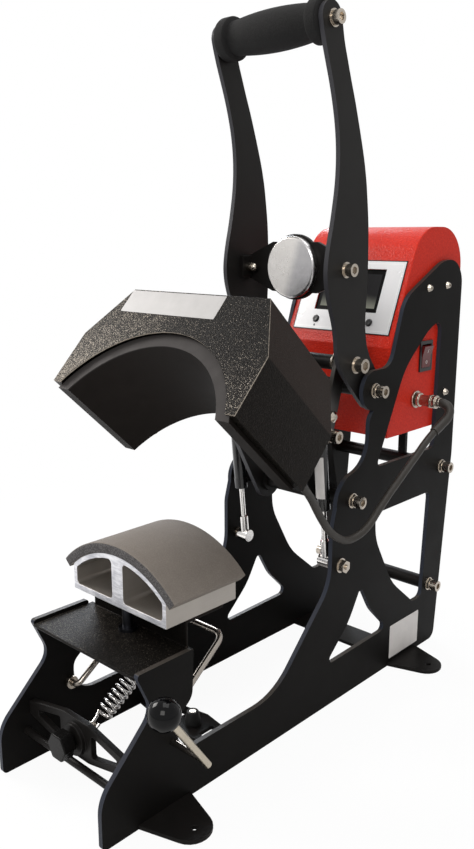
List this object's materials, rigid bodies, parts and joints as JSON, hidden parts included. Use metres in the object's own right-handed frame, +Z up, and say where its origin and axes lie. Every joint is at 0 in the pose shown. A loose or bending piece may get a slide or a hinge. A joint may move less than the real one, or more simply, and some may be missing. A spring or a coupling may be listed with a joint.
{
  "type": "cap heat press",
  "caption": "Benchtop clamshell cap heat press: curved heated head on gas-spring arms, toggle handle, curved padded platen, wire hold-down and sloping control box.",
  "frame": {"origin": "on the floor at the centre of the four base holes", "axes": "+Z up, +Y to the rear (away from the operator), +X to the right"},
  "size_m": [0.2615, 0.568, 0.712],
  "materials": {
    "frame_paint": "satin black powder coat",
    "hammer_paint": "dark hammered paint",
    "box_paint": "gloss red hammered paint",
    "bright_steel": "bright plated steel",
    "plain_steel": "turned steel",
    "aluminium": "saw-cut extrusion",
    "coated_block": "dark non-stick coating",
    "tube_paint": "gloss black",
    "black_rubber": "matte",
    "black_foam": "matte foam",
    "pad_foam": "silicone foam",
    "black_plastic": "satin",
    "ball_plastic": "polished",
    "overlay_film": "printed film",
    "screen": "display glass",
    "board": "circuit board",
    "rocker_red": "translucent red"
  },
  "bodies": {
    "frame": {"left_side_frame": "frame_paint", "right_side_frame": "frame_paint", "front_feet": "frame_paint", "rear_foot_plate": "frame_paint", "middle_cross_plate": "frame_paint", "rubber_bumper": "black_rubber", "front_cross_plate": "frame_paint", "front_tie_rod": "frame_paint", "cross_rods": "frame_paint", "frame_fasteners": "bright_steel", "gas_low_studs": "bright_steel", "platen_tray": "hammer_paint", "platen_post": "plain_steel", "lower_platen": "aluminium", "platen_pad": "pad_foam", "control_box_shell": "box_paint", "control_box_ends": "box_paint", "panel_overlay": "overlay_film", "display": "screen", "control_board": "board", "switch_frame": "black_plastic", "fuse_holder": "black_plastic", "power_inlet": "black_plastic", "heater_socket": "bright_steel", "heater_plug": "bright_steel", "heater_cable": "black_rubber"},
    "handle": {"left_handle_arm": "frame_paint", "right_handle_arm": "frame_paint", "grip_rod": "plain_steel", "foam_grip": "black_foam", "handle_cross_plate": "frame_paint", "steel_disc": "plain_steel", "handle_bolts": "bright_steel"},
    "head": {"left_head_arm": "frame_paint", "right_head_arm": "frame_paint", "head_bolts": "bright_steel", "magnet_carrier": "plain_steel", "electromagnet": "plain_steel", "heater_block": "coated_block", "heating_cartridges": "coated_block", "heater_cover": "hammer_paint", "cable_grommet": "black_rubber", "gas_top_studs": "bright_steel"},
    "left_link": {"left_link": "plain_steel"},
    "right_link": {"right_link": "plain_steel"},
    "left_gas_rod": {"left_gas_rod": "bright_steel"},
    "right_gas_rod": {"right_gas_rod": "bright_steel"},
    "left_gas_tube": {"left_gas_tube": "tube_paint"},
    "right_gas_tube": {"right_gas_tube": "tube_paint"},
    "hold_down": {"hold_down_wire": "bright_steel", "lever_rod": "plain_steel", "lever_ball": "ball_plastic", "bail_collars": "bright_steel"},
    "tension_spring": {"tension_spring": "bright_steel"},
    "eye_bolt": {"eye_bolt": "bright_steel"},
    "adjusting_knob": {"adjusting_knob": "black_plastic"},
    "rocker": {"rocker": "rocker_red"},
    "button_1": {"button_1": "black_plastic"},
    "button_2": {"button_2": "black_plastic"},
    "button_3": {"button_3": "black_plastic"}
  },
  "joints": [
    {"name": "handle_swing", "type": "hinge", "parent": "frame", "child": "handle", "pos_m": [0, 0.114, 0.3384], "axis": [1, 0, 0], "range_deg": [0, 76]},
    {"name": "head_swing", "type": "hinge", "parent": "frame", "child": "head", "pos_m": [0, 0.079, 0.225], "axis": [1, 0, 0], "range_deg": [0, 43], "stiffness_Nm_per_rad": 12, "springref_deg": -126.05, "deforming": ["heater_cable"]},
    {"name": "left_link_swing", "type": "hinge", "parent": "handle", "child": "left_link", "pos_m": [0, 0.0895, 0.3675], "axis": [1, 0, 0], "range_deg": [-106, 0.1]},
    {"name": "right_link_swing", "type": "hinge", "parent": "handle", "child": "right_link", "pos_m": [0, 0.0895, 0.3675], "axis": [1, 0, 0], "range_deg": [-106, 0.1]},
    {"name": "left_gas_rod_swing", "type": "hinge", "parent": "frame", "child": "left_gas_rod", "pos_m": [0, 0.061, 0.1575], "axis": [1, 0, 0], "range_deg": [-0.1, 25.8]},
    {"name": "left_gas_tube_slide", "type": "slide", "parent": "left_gas_rod", "child": "left_gas_tube", "axis": [0, -0.109, 0.994], "range_m": [-0.02929, 0.0002]},
    {"name": "right_gas_rod_swing", "type": "hinge", "parent": "frame", "child": "right_gas_rod", "pos_m": [0, 0.061, 0.1575], "axis": [1, 0, 0], "range_deg": [-0.1, 25.8]},
    {"name": "right_gas_tube_slide", "type": "slide", "parent": "right_gas_rod", "child": "right_gas_tube", "axis": [0, -0.109, 0.994], "range_m": [-0.02929, 0.0002]},
    {"name": "hold_down_swing", "type": "hinge", "parent": "frame", "child": "hold_down", "pos_m": [0, -0.182, 0.065], "axis": [1, 0, 0], "range_deg": [-57, 14]},
    {"name": "knob_turn", "type": "hinge", "parent": "frame", "child": "adjusting_knob", "pos_m": [0, -0.25, 0.056], "axis": [0, 1, 0], "range_deg": [-1, 721]},
    {"name": "eye_bolt_slide", "type": "slide", "parent": "frame", "child": "eye_bolt", "axis": [0, 1, 0], "range_m": [0, 0.0025]},
    {"name": "spring_swing", "type": "hinge", "parent": "eye_bolt", "child": "tension_spring", "pos_m": [0, -0.213, 0.056], "axis": [1, 0, 0], "range_deg": [-44.38, 11.13]},
    {"name": "rocker_tilt", "type": "hinge", "parent": "frame", "child": "rocker", "pos_m": [0.071, 0.2215, 0.364], "axis": [0, -1, 0], "range_deg": [0, 16]},
    {"name": "button_1_press", "type": "slide", "parent": "frame", "child": "button_1", "axis": [0, 0.9245, -0.3811], "range_m": [0, 0.001], "stiffness_N_per_m": 400, "springref_m": -0.0015},
    {"name": "button_2_press", "type": "slide", "parent": "frame", "child": "button_2", "axis": [0, 0.9245, -0.3811], "range_m": [0, 0.001], "stiffness_N_per_m": 400, "springref_m": -0.0015},
    {"name": "button_3_press", "type": "slide", "parent": "frame", "child": "button_3", "axis": [0, 0.9245, -0.3811], "range_m": [0, 0.001], "stiffness_N_per_m": 400, "springref_m": -0.0015}
  ],
  "couplings": [
    {"joint": "head_swing", "follows": "handle_swing", "ratio": 0.56579},
    {"joint": "left_link_swing", "follows": "handle_swing", "ratio": -1.393},
    {"joint": "right_link_swing", "follows": "handle_swing", "ratio": -1.393},
    {"joint": "left_gas_rod_swing", "follows": "handle_swing", "ratio": 0.33794},
    {"joint": "left_gas_tube_slide", "follows": "handle_swing", "m_per_rad": -0.021855},
    {"joint": "right_gas_rod_swing", "follows": "handle_swing", "ratio": 0.33794},
    {"joint": "right_gas_tube_slide", "follows": "handle_swing", "m_per_rad": -0.021855},
    {"joint": "knob_turn", "follows": "eye_bolt_slide", "rad_per_m": 5026.5},
    {"joint": "spring_swing", "follows": "hold_down_swing", "ratio": 0.77326}
  ]
}
